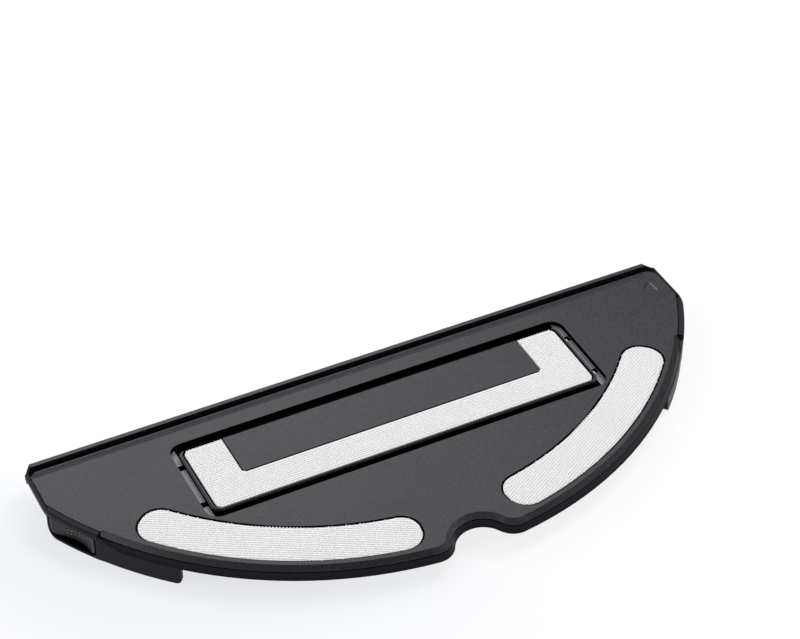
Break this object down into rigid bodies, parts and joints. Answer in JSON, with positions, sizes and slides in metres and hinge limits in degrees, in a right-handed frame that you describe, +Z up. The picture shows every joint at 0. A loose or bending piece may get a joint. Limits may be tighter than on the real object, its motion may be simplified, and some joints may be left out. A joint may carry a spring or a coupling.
{
  "type": "robot vacuum mopping plate",
  "caption": "Half-moon mopping plate for a robot vacuum: cloth rail, white hook pads, a vibrating centre plate in a window and sprung latch buttons in both ends.",
  "frame": {"origin": "middle of the bounding box on the surface that the plate lies on, with its mopping face up", "axes": "+X along the straight edge, +Y from the notch towards the straight edge, +Z up out of the mopping face"},
  "size_m": [0.3044, 0.123, 0.0135],
  "materials": {
    "face_plastic": "fine-grained dark grey moulding",
    "shell_plastic": "fine-grained dark grey moulding",
    "vibrating_plastic": "fine-grained grey moulding",
    "hook_fabric": "white hook material",
    "button_plastic": "dark grey moulding with a scooped face",
    "steel": "zinc-plated steel"
  },
  "bodies": {
    "body": {"mop_side_plate": "face_plastic", "robot_side_shell": "shell_plastic", "left_arc_pad": "hook_fabric", "right_arc_pad": "hook_fabric", "left_latch_spring": "steel", "right_latch_spring": "steel", "shell_screws": "steel"},
    "vibrating_unit": {"vibrating_plate": "vibrating_plastic", "vibrating_carrier": "vibrating_plastic", "center_hook_pad": "hook_fabric", "carrier_screws": "steel"},
    "left_button": {"left_latch_button": "button_plastic"},
    "right_button": {"right_latch_button": "button_plastic"}
  },
  "joints": [
    {"name": "vibrating_slide", "type": "slide", "parent": "body", "child": "vibrating_unit", "axis": [1, 0, 0], "range_m": [-0.0015, 0.0015]},
    {"name": "left_latch_press", "type": "slide", "parent": "body", "child": "left_button", "axis": [0.8619, 0.5071, 0], "range_m": [0, 0.0025], "stiffness_N_per_m": 500, "springref_m": -0.004, "deforming": ["left_latch_spring"]},
    {"name": "right_latch_press", "type": "slide", "parent": "body", "child": "right_button", "axis": [-0.8619, 0.5071, 0], "range_m": [0, 0.0025], "stiffness_N_per_m": 500, "springref_m": -0.004, "deforming": ["right_latch_spring"]}
  ]
}
